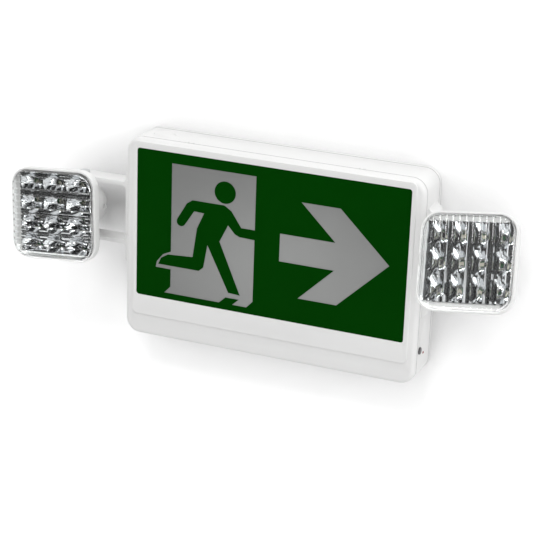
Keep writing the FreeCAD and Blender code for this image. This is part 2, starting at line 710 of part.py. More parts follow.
def frame_screws():
    seat = -SCREW_HEAD_H - TOUCH
    length = SCREW_GRIP + BACK_RIM + seat - TOUCH
    screw = pan_screw(SCREW_R, length, SCREW_HEAD_R, SCREW_HEAD_H)
    return [place(screw, x, seat, z) for x, z in corner_points(BOSS_X, BOSS_Z)]


# ---------------------------------------------------------------- test button and status light
def button_collar_x():
    """Outer face of the collar that keeps the button in the wall."""
    return SIDE_X - WALL - FIT


def test_board_x():
    """Inner face of the small board that carries the switch."""
    return button_collar_x() - BUTTON_COLLAR_T - SWITCH_GAP - SWITCH[0] - BOARD_T


def test_board_z():
    return (BUTTON_Z + STATUS_Z) / 2


def test_board_depth():
    return -(BUTTON_FROM_WALL + STATUS_FROM_WALL) / 2 + 2.0


def test_board_screw_depths():
    return [test_board_depth() + TEST_BOARD_HOLE]


def test_button():
    y = -BUTTON_FROM_WALL
    collar = button_collar_x()
    cap = rod_x(BUTTON_R, collar - BUTTON_COLLAR_T, SIDE_X + BUTTON_PROUD, y, BUTTON_Z)
    rim = [e for e in cap.Edges if e.BoundBox.XMin > SIDE_X + BUTTON_PROUD - 0.01]
    cap = cap.makeFillet(BUTTON_PROUD * 0.5, rim)
    ring = rod_x(BUTTON_COLLAR_R, collar - BUTTON_COLLAR_T, collar, y, BUTTON_Z)
    plunger = rod_x(PLUNGER_R, collar - BUTTON_COLLAR_T - SWITCH_GAP - 1, collar, y, BUTTON_Z)
    return union([cap, ring, plunger])


def test_switch():
    depth, width, height = SWITCH
    x1 = test_board_x() + BOARD_T + depth
    y = -BUTTON_FROM_WALL
    body = box(x1 - depth, x1, y - width / 2, y + width / 2, BUTTON_Z - height / 2, BUTTON_Z + height / 2)
    well = rod_x(PLUNGER_R + TOUCH, x1 - 1 - BUTTON_TRAVEL - FIT, x1 + 1, y, BUTTON_Z)
    return body.cut(well)


def test_board():
    x0 = test_board_x()
    y = test_board_depth()
    z = test_board_z()
    board = box(x0, x0 + BOARD_T, y - TEST_BOARD_W / 2, y + TEST_BOARD_W / 2,
                z - TEST_BOARD_H / 2, z + TEST_BOARD_H / 2)
    return cut(board, [rod_x(BOARD_HOLE_R + TOUCH / 2, x0 - 1, x0 + 5, sy, z) for sy in test_board_screw_depths()])


def test_board_screw():
    x0 = test_board_x()
    z = test_board_z()
    screws = []
    for y in test_board_screw_depths():
        head = rod_x(SCREW_HEAD_R, x0 - SCREW_HEAD_H, x0, y, z)
        screws.append(union([head, rod_x(BOARD_HOLE_R, x0, x0 + SCREW_GRIP / 2, y, z)]))
    return screws


def status_light():
    """Light pipe from the board's indicator to the wall."""
    y = -STATUS_FROM_WALL
    dome_x = SIDE_X + STATUS_PROUD - STATUS_R
    pipe = rod_x(STATUS_R, test_board_x() + BOARD_T, dome_x, y, STATUS_Z)
    return union([pipe, Part.makeSphere(STATUS_R, Vector(dome_x, y, STATUS_Z))])


# ---------------------------------------------------------------- lamp arms (right side; the left is mirrored)
def arm_screw_y():
    return -ARM_PLATE_BACK - PRONG_W / 2 - 3.0


def arm():
    """Base plate with bevelled ends and two flat prongs, moulded as one piece."""
    inner = SIDE_X
    outer = SIDE_X + ARM_PLATE_T
    half = ARM_PLATE_H / 2
    front = PIVOT_Y - PRONG_W / 2
    base = [(inner, -half), (outer, -half + ARM_PLATE_BEVEL), (outer, half - ARM_PLATE_BEVEL), (inner, half)]
    body = polygon(base, front, -ARM_PLATE_BACK)
    pieces = [body]
    for sz in (-1, 1):
        near = sz * PRONG_GAP / 2
        far = sz * PRONG_REACH
        zs = sorted((near, far))
        pieces.append(box(inner + 1, PIVOT_X, front, PIVOT_Y + PRONG_W / 2, zs[0], zs[1]))
        pieces.append(rod_z(PRONG_W / 2, zs[0], zs[1], PIVOT_X, PIVOT_Y))
        for face, step in ((near, -sz), (far, sz)):
            pieces.append(root_fillet(outer, face, step, front))
    yoke = union(pieces)
    holes = []
    for sz in (-1, 1):
        zs = sorted((sz * (PRONG_GAP / 2 - 1), sz * (PRONG_REACH + 1)))
        holes.append(rod_z(PIVOT_R + RUN_CLEAR, zs[0], zs[1], PIVOT_X, PIVOT_Y))
        holes.append(rod_x(SCREW_R, inner - 1, outer - 1, arm_screw_y(), sz * ARM_SCREW_Z))
    return place(cut(yoke, holes), 0, 0, PIVOT_Z)


def root_fillet(x, z, step, front):
    """Concave fillet between the base plate and one face of a prong."""
    r = PRONG_ROOT
    block = box(x, x + r, front, PIVOT_Y + PRONG_W / 2, min(z, z + step * r), max(z, z + step * r))
    return block.cut(rod_y(r, front - 1, PIVOT_Y + PRONG_W, x + r, z + step * r))


def arm_screws():
    """Screws driven from inside the frame into each base plate."""
    screws = []
    for sx in (-1, 1):
        seat = SIDE_X - WALL
        for sz in (-1, 1):
            z = PIVOT_Z + sz * ARM_SCREW_Z
            head = rod_x(SCREW_HEAD_R, seat - SCREW_HEAD_H, seat, arm_screw_y(), z)
            shank = rod_x(SCREW_R, seat, seat + WALL + ARM_PLATE_T - 1.5, arm_screw_y(), z)
            screw = union([head, shank])
            screws.append(screw if sx > 0 else mirrored(screw))
    return screws


def pivot_screws():
    """Shoulder screws through the prongs, on which the knuckle pans."""
    screws = []
    for sz in (-1, 1):
        zs = sorted((sz * (BALL_NECK_HALF - PIVOT_DEPTH + FIT), sz * PRONG_REACH))
        hs = sorted((sz * PRONG_REACH, sz * (PRONG_REACH + PIVOT_HEAD_H)))
        shank = rod_z(PIVOT_R, zs[0], zs[1])
        head = rod_z(PIVOT_HEAD_R, hs[0], hs[1])
        screws.append(place(union([shank, head]), PIVOT_X, PIVOT_Y, PIVOT_Z))
    return screws


# ---------------------------------------------------------------- lamp head, in its own frame
# The pivot is at the origin and the lamp faces -Y, so "forward" distances are negative Y.
BALL_NECK_HALF = PRONG_GAP / 2 - FIT


def knuckle():
    """Ball with a neck above and below, bored for the pivots and slotted for the stem."""
    ball = union([Part.makeSphere(BALL_R), rod_z(BALL_NECK_R, -BALL_NECK_HALF, BALL_NECK_HALF)])
    half = EYE_W / 2 + FIT
    slope = math.tan(math.radians(TILT_OPEN))
    start = (STEM_R + FIT) / math.cos(math.radians(TILT_OPEN))
    reach = BALL_R + 1
    wedge = [Vector(-half, 0, start), Vector(-half, -reach, start + reach * slope),
             Vector(-half, -reach, -start - reach * slope), Vector(-half, 0, -start)]
    slot = Part.Face(Part.makePolygon(wedge + wedge[:1])).extrude(Vector(2 * half, 0, 0))
    holes = [slot, rod_x(EYE_R + FIT, -half, half), rod_x(TILT_PIN_R, -BALL_R - 1, BALL_R + 1)]
    for sz in (-1, 1):
        zs = sorted((sz * (BALL_NECK_HALF - PIVOT_DEPTH), sz * (BALL_NECK_HALF + 1)))
        holes.append(rod_z(PIVOT_R + RUN_CLEAR, zs[0], zs[1]))
    return cut(ball, holes)


def tilt_pin():
    return rod_x(TILT_PIN_R, -TILT_PIN_L / 2, TILT_PIN_L / 2)


def stem():
    """Eye on the tilt pin, flange and journal on which the head turns."""
    eye = rod_x(EYE_R, -EYE_W / 2, EYE_W / 2)
    shank = rod_y(STEM_R, -STEM_FLANGE_AT, 0)
    flange = rod_y(STEM_FLANGE_R, -STEM_FLANGE_AT - STEM_FLANGE_T, -STEM_FLANGE_AT)
    journal = rod_y(STEM_R, -STEM_END, -STEM_FLANGE_AT)
    body = union([eye, shank, flange, journal])
    return cut(body, [rod_x(TILT_PIN_R + RUN_CLEAR, -EYE_W, EYE_W),
                      rod_y(STEM_SCREW_R, -STEM_END - 1, -STEM_END + STEM_SCREW_L)])


def stem_washer():
    ring = rod_y(STEM_WASHER_R, -STEM_END - STEM_WASHER_T, -STEM_END)
    return ring.cut(rod_y(STEM_SCREW_R + TOUCH, -STEM_END - 5, 0))


def stem_screw():
    seat = -STEM_END - STEM_WASHER_T
    head = rod_y(STEM_SCREW_HEAD_R, seat - STEM_SCREW_HEAD_H, seat)
    return union([head, rod_y(STEM_SCREW_R, seat, -STEM_END + STEM_SCREW_L - TOUCH)])


def square_loft(sections):
    """Solid through rounded squares, each (width, corner radius, forward distance)."""
    wires = [rounded_wire(width, width, radius, -forward) for width, radius, forward in sections]
    return Part.makeLoft(wires, True, True)


def head_post_points():
    """Between the light sources, behind the places where four cups meet."""
    return corner_points(REFLECTOR_W / CUP_COLUMNS, REFLECTOR_H / CUP_ROWS / 2)


def head_shell():
    """Flared shell with a hub that turns on the stem and posts for the lamp board."""
    outer = union([square_loft([(HEAD_BACK_W, HEAD_BACK_R, HEAD_BACK), (HEAD_W, HEAD_R, HEAD_FLARE_END)]),
                   plate(HEAD_W, HEAD_W, HEAD_R, -HEAD_RIM, -HEAD_FLARE_END)])
    thin = 2 * SHELL_T
    inner = square_loft([(HEAD_BACK_W - thin, HEAD_BACK_R - SHELL_T, HEAD_BACK + SHELL_T),
                         (HEAD_W - thin, HEAD_R - SHELL_T, HEAD_FLARE_END + SHELL_T / 2)])
    throat = plate(LENS_W - 2 * LENS_T, LENS_W - 2 * LENS_T, LENS_R - LENS_T, -HEAD_RIM, -HEAD_FLARE_END)
    mouth = plate(LENS_W + 2 * TOUCH, LENS_W + 2 * TOUCH, LENS_R + TOUCH, -HEAD_RIM - 1, -LENS_SEAT)
    notch = box(-HEAD_W / 2 - 1, -LENS_W / 2, -HEAD_RIM - 1, -HEAD_RIM + PRY_NOTCH_D,
                -PRY_NOTCH_L / 2, PRY_NOTCH_L / 2)
    shell = outer.cut([inner, throat, mouth, notch])
    hub = rod_y(HUB_R, -STEM_END + FIT, -HEAD_BACK + SHELL_T)
    posts = []
    for x, z in head_post_points():
        post = rod_y(HEAD_POST_R, -HEAD_BOARD_AT, -HEAD_BACK, x, z)
        posts.append(post.common(outer))
    shell = union([shell, hub] + posts)
    holes = [rod_y(STEM_R + RUN_CLEAR, -STEM_END - 1, 0)]
    for x, z in head_post_points():
        holes.append(rod_y(HEAD_SCREW_R, -HEAD_BOARD_AT - 1, -HEAD_BOARD_AT + HEAD_SCREW_GRIP, x, z))
    return cut(shell, holes)


def head_board():
    back = -HEAD_BOARD_AT
    board = plate(HEAD_BOARD_W, HEAD_BOARD_H, HEAD_BOARD_R, back - BOARD_T, back)
    return cut(board, [rod_y(HEAD_SCREW_R + TOUCH / 2, back - 5, 0, x, z) for x, z in head_post_points()])


def cup_points():
    pitch_x = REFLECTOR_W / CUP_COLUMNS
    pitch_z = REFLECTOR_H / CUP_ROWS
    return [((i - (CUP_COLUMNS - 1) / 2) * pitch_x, (j - (CUP_ROWS - 1) / 2) * pitch_z)
            for i in range(CUP_COLUMNS) for j in range(CUP_ROWS)]


def head_leds():
    front = -HEAD_BOARD_AT - BOARD_T
    return [box(x - CHIP_W / 2, x + CHIP_W / 2, front - CHIP_T, front, z - CHIP_W / 2, z + CHIP_W / 2)
            for x, z in cup_points()]


def cup():
    """Oval reflector cup, open in front and narrowing to a round floor round its light source."""
    half_x = REFLECTOR_W / CUP_COLUMNS / 2 - CUP_WEB
    half_z = REFLECTOR_H / CUP_ROWS / 2 - CUP_WEB
    mouth = Part.Ellipse(Vector(0, 0, 0), half_z, half_x).toShape()
    floor = Part.Ellipse(Vector(0, 0, 0), CUP_FLOOR_R * 1.01, CUP_FLOOR_R).toShape()
    turn = Placement(Vector(0, 0, 0), Rotation(Vector(1, 0, 0), 90)).multiply(
        Placement(Vector(0, 0, 0), Rotation(Vector(0, 0, 1), 90)))
    wires = []
    for edge, forward in ((floor, REFLECTOR_BACK + CUP_SKIN), (mouth, REFLECTOR_FRONT + 0.01)):
        edge.Placement = Placement(Vector(0, -forward, 0), Rotation()).multiply(turn)
        wires.append(Part.Wire([edge]))
    return Part.makeLoft(wires, True, False)


def reflector():
    """Metallised moulding with a cup for each light source and feet on the board."""
    front = rounded_wire(REFLECTOR_W, REFLECTOR_H, REFLECTOR_R, -REFLECTOR_FRONT)
    narrow = 2 * REFLECTOR_DRAFT
    rear = rounded_wire(REFLECTOR_W - narrow, REFLECTOR_H - narrow, REFLECTOR_R, -REFLECTOR_BACK)
    block = Part.makeLoft([rear, front], True, True)
    feet = []
    for sx, sz in ((-1, 0), (1, 0), (0, -1), (0, 1)):
        x = sx * (HEAD_BOARD_W / 2 - FOOT_INSET)
        z = sz * (HEAD_BOARD_H / 2 - FOOT_INSET)
        feet.append(rod_y(FOOT_R, -REFLECTOR_BACK - CUP_SKIN / 2, -HEAD_BOARD_AT - BOARD_T, x, z))
    block = union([block] + feet)
    master = cup()
    holes = []
    for x, z in cup_points():
        holes.append(place(master, x, 0, z))
        holes.append(rod_y(CHIP_W * 0.75 + TOUCH, -REFLECTOR_BACK - CUP_SKIN - 0.5, 0, x, z))
    return cut(block, holes)


def fluted_slab():
    """Slab whose front is a row of shallow half-round flutes running along Z."""
    pitch = LENS_W / FLUTES
    edges = []
    valley = -LENS_FRONT + FLUTE_H
    left = -LENS_W / 2
    for i in range(FLUTES):
        x0 = left + i * pitch
        edges.append(Part.Arc(Vector(x0, valley, 0), Vector(x0 + pitch / 2, valley - FLUTE_H, 0),
                              Vector(x0 + pitch, valley, 0)).toShape())
    corners = [Vector(-left, valley, 0), Vector(-left, -LENS_SEAT, 0), Vector(left, -LENS_SEAT, 0),
               Vector(left, valley, 0)]
    edges += [Part.makeLine(a, b) for a, b in zip(corners, corners[1:])]
    face = Part.Face(Part.Wire(edges))
    slab = face.extrude(Vector(0, 0, LENS_W))
    slab.translate(Vector(0, 0, -LENS_W / 2))
    return slab


def lens():
    """Clear box lens with flutes over its front."""
    blank = plate(LENS_W, LENS_W, LENS_R, -LENS_FRONT, -LENS_SEAT)
    front_edges = [e for e in blank.Edges if e.BoundBox.YMax < -LENS_FRONT + 0.01]
    blank = blank.makeFillet(LENS_ROUND, front_edges)
    outer = blank.common(fluted_slab())
    inner_w = LENS_W - 2 * LENS_T
    cavity = plate(inner_w, inner_w, LENS_R - LENS_T, -LENS_FRONT + LENS_T + FLUTE_H, -LENS_SEAT)
    return outer.cut(cavity)


def head_screws():
    front = -HEAD_BOARD_AT - BOARD_T
    screws = []
    for x, z in head_post_points():
        head = rod_y(HEAD_SCREW_HEAD_R, front - HEAD_SCREW_HEAD_H, front, x, z)
        shank = rod_y(HEAD_SCREW_R, front, -HEAD_BOARD_AT + HEAD_SCREW_GRIP - TOUCH, x, z)
        screws.append(union([head, shank]))
    return screws


def aimed(shape, side, pose, moves):
    """Carry a head piece from its own frame to its place, with the first `moves` of pan, tilt, turn."""
    pan, tilt, turn = [angle if i < moves else 0.0 for i, angle in enumerate(pose)]
    rotation = Rotation(Vector(0, 0, 1), pan).multiply(Rotation(Vector(1, 0, 0), tilt)).multiply(
        Rotation(Vector(0, 1, 0), turn))
    moved = shape.copy()
    moved.Placement = Placement(Vector(side * PIVOT_X, PIVOT_Y, PIVOT_Z), rotation).multiply(moved.Placement)
    return moved


HEAD_PIECES = [
    ("knuckle", knuckle, 1), ("tilt_pin", tilt_pin, 1),
    ("stem", stem, 2), ("stem_washer", stem_washer, 2), ("stem_screw", stem_screw, 2),
    ("head_shell", head_shell, 3), ("lamp_board", head_board, 3), ("lamp_leds", head_leds, 3),
    ("lamp_board_screws", head_screws, 3), ("reflector", reflector, 3), ("lens", lens, 3),
]


def build():
    add("back_plate", back_plate())
    add("housing_frame", housing_frame())
    add("front_cover", front_cover())
    add("legend_film", legend_film())
    add("legend_panel", legend_panel())
    add("light_tray", light_tray())
    add("sign_led_strips", sign_led_strips())
    add("sign_leds", sign_leds())
    add("tray_screws", tray_screws())
    add("frame_screws", frame_screws())
    add("charger_board", charger_board())
    add("charger_screws", charger_screws())
    add("transformer", transformer())
    add("capacitors", capacitors())
    add("terminal_block", terminal_block())
    add("battery_pack", battery_pack())
    add("battery_strap", battery_strap())
    add("strap_screws", strap_screws())
    add("test_button", test_button())
    add("test_switch", test_switch())
    add("test_board", test_board())
    add("test_board_screw", test_board_screw())
    add("status_light", status_light())
    add("arm_screws", arm_screws())
    right_arm = arm()
    right_pivots = pivot_screws()
    add("right_arm", right_arm)
    add("left_arm", mirrored(right_arm))
    add("right_pivot_screws", right_pivots)
    add("left_pivot_screws", [mirrored(screw) for screw in right_pivots])
    for piece, maker, moves in HEAD_PIECES:
        shapes = maker()
        if not isinstance(shapes, list):
            shapes = [shapes]
        for side, word, pose in ((-1, "left", LEFT_POSE), (1, "right", RIGHT_POSE)):
            add(word + "_" + piece, [aimed(shape, side, pose, moves) for shape in shapes])


build()
for name, shape in nodes.items():
    if not shape.isValid():
        raise ValueError(name + " is not a valid shape")
    shape.exportStep("parts/" + name + ".step")
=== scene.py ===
import json
import math

import bpy
from mathutils import Matrix, Vector


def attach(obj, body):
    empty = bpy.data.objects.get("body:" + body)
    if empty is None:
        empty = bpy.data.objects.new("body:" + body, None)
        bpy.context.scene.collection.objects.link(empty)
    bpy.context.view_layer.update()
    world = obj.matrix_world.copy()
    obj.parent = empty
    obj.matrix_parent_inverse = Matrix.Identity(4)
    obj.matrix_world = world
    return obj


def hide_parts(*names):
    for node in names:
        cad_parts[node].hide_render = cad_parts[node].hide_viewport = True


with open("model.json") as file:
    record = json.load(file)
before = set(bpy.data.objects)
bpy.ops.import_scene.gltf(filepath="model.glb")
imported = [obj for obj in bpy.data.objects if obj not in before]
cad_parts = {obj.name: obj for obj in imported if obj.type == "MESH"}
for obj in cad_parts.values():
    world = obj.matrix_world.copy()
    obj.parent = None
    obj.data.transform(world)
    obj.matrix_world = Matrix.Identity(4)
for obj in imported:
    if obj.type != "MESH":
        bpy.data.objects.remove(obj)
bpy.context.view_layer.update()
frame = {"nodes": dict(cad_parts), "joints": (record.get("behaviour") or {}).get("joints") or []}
nodes = frame["nodes"]


# ---------------------------------------------------------------- housing and cover
# The body is three white ABS mouldings: a back plate for the wall, a ring of side walls
# and a snap-on front cover with a raised border round the legend. Their edges are eased,
# their faces carry a fine spark-eroded texture, and shade is painted into the parting lines.
EDGE_EASE = 0.0003
FACET_MERGE = 0.000004
COVER_LINE_Y = -0.041
BACK_LINE_Y = -0.0045
LINE_HALF_WIDTH = 0.0006
CLOUD_SCALE = 14.0
GLOSS_SCALE = 60.0
SPARK_SCALE = 2600.0
WHITE = ((0.86, 0.86, 0.855), 0.035, (0.38, 0.47), 0.000012)  # colour, shade, gloss, texture


def alone(obj):
    """Select one object and make it the active one."""
    bpy.ops.object.select_all(action="DESELECT")
    obj.select_set(True)
    bpy.context.view_layer.objects.active = obj


def eased(node, body, edge):
    """Copy of a hard moulding with its facets joined, its edges eased and smooth shading."""
    source = nodes[node]
    piece = source.copy()
    piece.data = source.data.copy()
    piece.name = node + "_moulding"
    piece.parent = None
    piece.matrix_world = Matrix.Identity(4)
    bpy.context.collection.objects.link(piece)
    alone(piece)
    bpy.ops.mesh.customdata_custom_splitnormals_clear()
    bpy.ops.object.mode_set(mode="EDIT")
    bpy.ops.mesh.select_all(action="SELECT")
    bpy.ops.mesh.remove_doubles(threshold=FACET_MERGE)
    bpy.ops.mesh.dissolve_limited(angle_limit=math.radians(0.4), delimit=set())
    bpy.ops.object.mode_set(mode="OBJECT")
    if edge:
        bevel = piece.modifiers.new("eased_edges", "BEVEL")
        bevel.width = edge
        bevel.segments = 2
        bevel.limit_method = "ANGLE"
        bevel.angle_limit = math.radians(40)
        bevel.use_clamp_overlap = True
        bpy.ops.object.modifier_apply(modifier=bevel.name)
    bpy.ops.object.shade_smooth_by_angle(angle=math.radians(32))
    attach(piece, body)
    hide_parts(node)
    return piece


def feed(tree, socket, value):
    """Link another node's output to a socket, or set the socket to a plain value."""
    if isinstance(value, bpy.types.NodeSocket):
        tree.links.new(value, socket)
    else:
        socket.default_value = value


def reckon(tree, operation, *values):
    """Result of a Math node on outputs or plain numbers."""
    step = tree.nodes.new("ShaderNodeMath")
    step.operation = operation
    for socket, value in zip(step.inputs, values):
        feed(tree, socket, value)
    return step.outputs[0]


def spread(tree, value, start, end, low, high, curve="LINEAR"):
    """Value mapped from start to end onto low to high."""
    step = tree.nodes.new("ShaderNodeMapRange")
    step.interpolation_type = curve
    labels = ("Value", "From Min", "From Max", "To Min", "To Max")
    for label, given_value in zip(labels, (value, start, end, low, high)):
        feed(tree, step.inputs[label], given_value)
    return step.outputs["Result"]


def toned(tree, colour, factor):
    """Colour made lighter or darker by a factor."""
    step = tree.nodes.new("ShaderNodeVectorMath")
    step.operation = "SCALE"
    tree.links.new(colour, step.inputs[0])
    tree.links.new(factor, step.inputs["Scale"])
    return step.outputs[0]


def on_object(tree):
    """Object coordinates, which every pattern on a piece is laid out on."""
    return tree.nodes.new("ShaderNodeTexCoord").outputs["Object"]


def noise(tree, scale, detail):
    """Noise pattern of about scale grains to the metre."""
    grain = tree.nodes.new("ShaderNodeTexNoise")
    grain.inputs["Scale"].default_value = scale
    grain.inputs["Detail"].default_value = detail
    tree.links.new(on_object(tree), grain.inputs["Vector"])
    return grain.outputs["Fac"]


def finish_group(name, sockets_in, sockets_out):
    """Empty shader node group with named inputs (name, default) and outputs (name, type)."""
    group = bpy.data.node_groups.new(name, "ShaderNodeTree")
    for label, default in sockets_in:
        kind = "NodeSocketColor" if isinstance(default, tuple) else "NodeSocketFloat"
        socket = group.interface.new_socket(label, in_out="INPUT", socket_type=kind)
        socket.default_value = default
    for label, kind in sockets_out:
        group.interface.new_socket(label, in_out="OUTPUT", socket_type=kind)
    given = group.nodes.new("NodeGroupInput").outputs
    put = group.nodes.new("NodeGroupOutput").inputs
    return group, given, put


# Moulded finish: cloudy tone, uneven gloss and a fine texture in the surface.
moulded, given, put = finish_group(
    "moulded_finish",
    [("Colour", (0.8, 0.8, 0.8, 1.0)), ("Shade", 0.03), ("Gloss low", 0.4), ("Gloss high", 0.5),
     ("Texture height", 0.00002)],
    [("Colour", "NodeSocketColor"), ("Roughness", "NodeSocketFloat"), ("Normal", "NodeSocketVector")])
cloud = reckon(moulded, "SUBTRACT", noise(moulded, CLOUD_SCALE, 4.0), 0.7)
tone = reckon(moulded, "MULTIPLY_ADD", cloud, given["Shade"], 1.0)
moulded.links.new(toned(moulded, given["Colour"], tone), put["Colour"])
gloss = spread(moulded, noise(moulded, GLOSS_SCALE, 2.0), 0.3, 0.7, given["Gloss low"], given["Gloss high"])
moulded.links.new(gloss, put["Roughness"])
bump = moulded.nodes.new("ShaderNodeBump")
bump.inputs["Strength"].default_value = 1.0
moulded.links.new(given["Texture height"], bump.inputs["Distance"])
moulded.links.new(noise(moulded, SPARK_SCALE, 2.0), bump.inputs["Height"])
moulded.links.new(bump.outputs["Normal"], put["Normal"])


def finished(name, colour, shade, gloss, height=0.00002):
    """Principled material whose colour, gloss and texture come from the moulded finish."""
    material = bpy.data.materials.new(name)
    material.use_nodes = True
    tree = material.node_tree
    shader = tree.nodes["Principled BSDF"]
    finish = tree.nodes.new("ShaderNodeGroup")
    finish.name = "finish"
    finish.node_tree = moulded
    finish.inputs["Colour"].default_value = colour + (1.0,)
    finish.inputs["Shade"].default_value = shade
    finish.inputs["Gloss low"].default_value = gloss[0]
    finish.inputs["Gloss high"].default_value = gloss[1]
    finish.inputs["Texture height"].default_value = height
    tree.links.new(finish.outputs["Colour"], shader.inputs["Base Color"])
    tree.links.new(finish.outputs["Roughness"], shader.inputs["Roughness"])
    tree.links.new(finish.outputs["Normal"], shader.inputs["Normal"])
    return material


def paint(obj, material):
    """Give an object one material."""
    obj.data.materials.clear()
    obj.data.materials.append(material)


def paint_node(name, material):
    """Give a CAD node a material in its own slots, with its mesh left alone."""
    for slot in nodes[name].material_slots:
        slot.material = material


# Painted shade: the colour is darkened in a thin band where the cover and the back plate meet the walls,
# standing in for the shade in the parting lines.
painted_seam_shade, given, put = finish_group(
    "painted_seam_shade_lines",
    [("Colour", (0.8, 0.8, 0.8, 1.0)), ("Cover line", COVER_LINE_Y), ("Back line", BACK_LINE_Y),
     ("Half width", LINE_HALF_WIDTH), ("Shade", 0.5)],
    [("Colour", "NodeSocketColor")])
split = painted_seam_shade.nodes.new("ShaderNodeSeparateXYZ")
painted_seam_shade.links.new(on_object(painted_seam_shade), split.inputs[0])
at_cover = reckon(painted_seam_shade, "COMPARE", split.outputs["Y"], given["Cover line"], given["Half width"])
at_back = reckon(painted_seam_shade, "COMPARE", split.outputs["Y"], given["Back line"], given["Half width"])
darker = reckon(painted_seam_shade, "MULTIPLY", reckon(painted_seam_shade, "MAXIMUM", at_cover, at_back), given["Shade"])
painted_seam_shade.links.new(toned(painted_seam_shade, given["Colour"], reckon(painted_seam_shade, "SUBTRACT", 1.0, darker)), put["Colour"])

housing_abs = finished("housing_abs", *WHITE)
tree = housing_abs.node_tree
# Painted shade: the housing's white ABS is darkened at the parting lines, on top of its moulded finish.
seam_shade_node = tree.nodes.new("ShaderNodeGroup")
seam_shade_node.node_tree = painted_seam_shade
tree.links.new(tree.nodes["finish"].outputs["Colour"], seam_shade_node.inputs["Colour"])
tree.links.new(seam_shade_node.outputs["Colour"], tree.nodes["Principled BSDF"].inputs["Base Color"])
for node in ("front_cover", "housing_frame", "back_plate"):
    paint(eased(node, "housing", EDGE_EASE), housing_abs)


# ---------------------------------------------------------------- legend
# A green translucent film, with the doorway and the arrow left clear, lies on an opal
# acrylic panel behind the cover's window. With the lamps off the opal looks grey. Its colour
# is darkened towards the window's corners as painted shade, where less light comes back out of the light
# box.
OPAL_OFFSET = (-0.12, 0.0, 0.14)
OPAL_SCALE = (5.9, 0.0, 9.1)
OPAL_CORNER_PAINTED_SHADE = 0.62
film = finished("green_film", (0.0003, 0.044, 0.0004), 0.10, (0.5, 0.6), 0.000006)
film.node_tree.nodes["Principled BSDF"].inputs["Specular IOR Level"].default_value = 0.02
paint_node("legend_film", film)

opal = finished("opal_acrylic", (0.345, 0.35, 0.345), 0.12, (0.45, 0.55), 0.000005)
tree = opal.node_tree
centred = tree.nodes.new("ShaderNodeMapping")
centred.inputs["Location"].default_value = OPAL_OFFSET
centred.inputs["Scale"].default_value = OPAL_SCALE
tree.links.new(on_object(tree), centred.inputs["Vector"])
off_centre = tree.nodes.new("ShaderNodeVectorMath")
off_centre.operation = "LENGTH"
tree.links.new(centred.outputs[0], off_centre.inputs[0])
# Painted shade: the opal's colour darkens from an off-centre point towards the window's corners.
painted_corner_shade = spread(tree, off_centre.outputs["Value"], 0.1, 1.25, 1.0, OPAL_CORNER_PAINTED_SHADE, "SMOOTHSTEP")
tree.links.new(toned(tree, tree.nodes["finish"].outputs["Colour"], painted_corner_shade),
               tree.nodes["Principled BSDF"].inputs["Base Color"])
paint_node("legend_panel", opal)


# ---------------------------------------------------------------- light box and electronics
# Inside, a white tray holds two strips of light sources; a charger board with its
# transformer, capacitors and terminals, and a wrapped battery under its strap, are
# screwed to the back plate. Boards are green, fasteners zinc-plated steel.
white_abs = finished("white_abs", *WHITE)
board_green = finished("solder_mask", (0.02, 0.14, 0.05), 0.3, (0.25, 0.4), 0.00001)
phosphor = finished("phosphor", (0.42, 0.41, 0.33), 0.1, (0.4, 0.5))
steel = finished("zinc_steel", (0.62, 0.63, 0.64), 0.25, (0.22, 0.4), 0.000008)
steel.node_tree.nodes["Principled BSDF"].inputs["Metallic"].default_value = 1.0
for name in ("light_tray", "battery_strap"):
    paint_node(name, white_abs)
for name in ("sign_led_strips", "charger_board", "test_board", "left_lamp_board", "right_lamp_board"):
    paint_node(name, board_green)
for name in ("sign_leds", "left_lamp_leds", "right_lamp_leds"):
    paint_node(name, phosphor)
paint_node("transformer", finished("transformer_tape", (0.55, 0.42, 0.10), 0.2, (0.3, 0.45)))
paint_node("capacitors", finished("capacitor_sleeve", (0.02, 0.03, 0.09), 0.2, (0.25, 0.35)))
paint_node("terminal_block", finished("terminal_green", (0.03, 0.22, 0.09), 0.1, (0.35, 0.5)))
paint_node("battery_pack", finished("battery_wrap", (0.03, 0.10, 0.30), 0.15, (0.25, 0.35)))
for name in ("tray_screws", "charger_screws", "strap_screws", "frame_screws", "arm_screws",
             "test_board_screw"):
    paint_node(name, steel)
for side in ("left", "right"):
    for name in ("pivot_screws", "tilt_pin", "stem_screw", "stem_washer", "lamp_board_screws"):
        paint_node(side + "_" + name, steel)


# ---------------------------------------------------------------- test button and status light
# A dark grey push button and a red indicator beside it look out of the right wall. A
# small switch stands behind the button, on a board of its own.
button_grey = finished("grey_nylon", (0.07, 0.07, 0.072), 0.2, (0.35, 0.45))
paint_node("test_button", button_grey)
paint_node("test_switch", button_grey)
paint_node("status_light", finished("red_lens", (0.35, 0.01, 0.01), 0.1, (0.12, 0.2)))


# ---------------------------------------------------------------- arms, knuckles and stems
# Each arm is a white yoke with two prongs, screwed to the side wall. A ball knuckle turns
# between the prongs, and a stem that tilts on a pin in it carries the lamp head.
for side in ("left", "right"):
    for name, body in (("arm", "housing"), ("knuckle", side + "_knuckle_body"),
                       ("stem", side + "_stem_body")):
        paint(eased(side + "_" + name, body, EDGE_EASE), white_abs)


# ---------------------------------------------------------------- lamp heads
# A flared white shell holds a board with twelve light sources behind a metallised
# reflector of twelve oval cups, under a clear box lens with flutes over its front. A
# ledge moulded in the shell's mouth closes the gap between the reflector and the lens.
HEAD_ANGLES = {"left": (1.5, -5.5, -94.0), "right": (-2.5, -24.0, -7.5)}  # pan, tilt, turn
LEDGE_W = 0.0816
LEDGE_R = 0.0138
LEDGE_LIP = 0.0004
LEDGE_HOLE = (0.0802, 0.0722)
LEDGE_T = 0.0012
LEDGE_OUT = 0.0628


